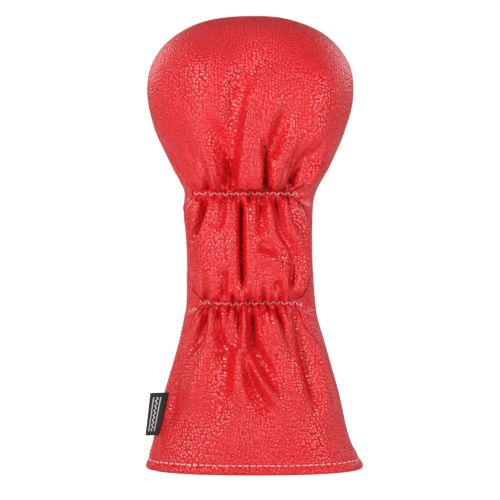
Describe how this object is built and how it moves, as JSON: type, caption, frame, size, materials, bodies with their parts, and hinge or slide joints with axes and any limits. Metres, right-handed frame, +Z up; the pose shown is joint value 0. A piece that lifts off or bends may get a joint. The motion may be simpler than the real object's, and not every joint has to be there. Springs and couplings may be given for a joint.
{
  "type": "driver head cover",
  "caption": "Padded synthetic-leather cover that pulls over a golf driver's head: bulbous head, neck gathered by elastic at the back, flared skirt with a stitched hem, side label.",
  "frame": {"origin": "centre of the mouth, on the plane that the hem rests on", "axes": "+Z up from the mouth to the crown; -Y towards the gathered back; +X to the right as seen from the back, so that the side label is at -X"},
  "size_m": [0.1669, 0.09, 0.34],
  "materials": {
    "red_leather": "pebbled, semi-gloss",
    "sponge": "soft open sponge",
    "fleece": "short pile",
    "elastic_tape": "ribbed knit",
    "gather_thread": "matte thread",
    "hem_thread": "matte thread",
    "seam_thread": "matte thread",
    "woven_tape": "satin weave"
  },
  "bodies": {
    "skirt": {"back_panel_skirt": "red_leather", "front_panel_skirt": "red_leather", "back_lining_skirt": "fleece", "front_lining_skirt": "fleece", "lower_elastic": "elastic_tape", "lower_zigzag_stitching": "gather_thread", "hem_stitching": "hem_thread", "seam_stitching_skirt": "seam_thread", "back_panel_neck": "red_leather", "front_panel_neck": "red_leather", "back_lining_neck": "fleece", "front_lining_neck": "fleece", "seam_stitching_neck": "seam_thread"},
    "head": {"back_panel_head": "red_leather", "front_panel_head": "red_leather", "back_padding": "sponge", "front_padding": "sponge", "back_lining_head": "fleece", "front_lining_head": "fleece", "upper_elastic": "elastic_tape", "upper_zigzag_stitching": "gather_thread", "seam_stitching_head": "seam_thread"},
    "label": {"side_label": "woven_tape"}
  },
  "joints": [
    {"name": "neck_bend", "type": "hinge", "parent": "skirt", "child": "head", "pos_m": [0, 0, 0.1648], "axis": [1, 0, 0], "range_deg": [-35, 35], "stiffness_Nm_per_rad": 0.7, "deforming": ["back_panel_neck", "front_panel_neck", "back_lining_neck", "front_lining_neck", "seam_stitching_neck"]},
    {"name": "label_flap", "type": "hinge", "parent": "skirt", "child": "label", "pos_m": [-0.06714, -0.017, 0.0415], "axis": [0.242, 0, 0.9703], "range_deg": [-70, 70], "stiffness_Nm_per_rad": 0.0005}
  ]
}
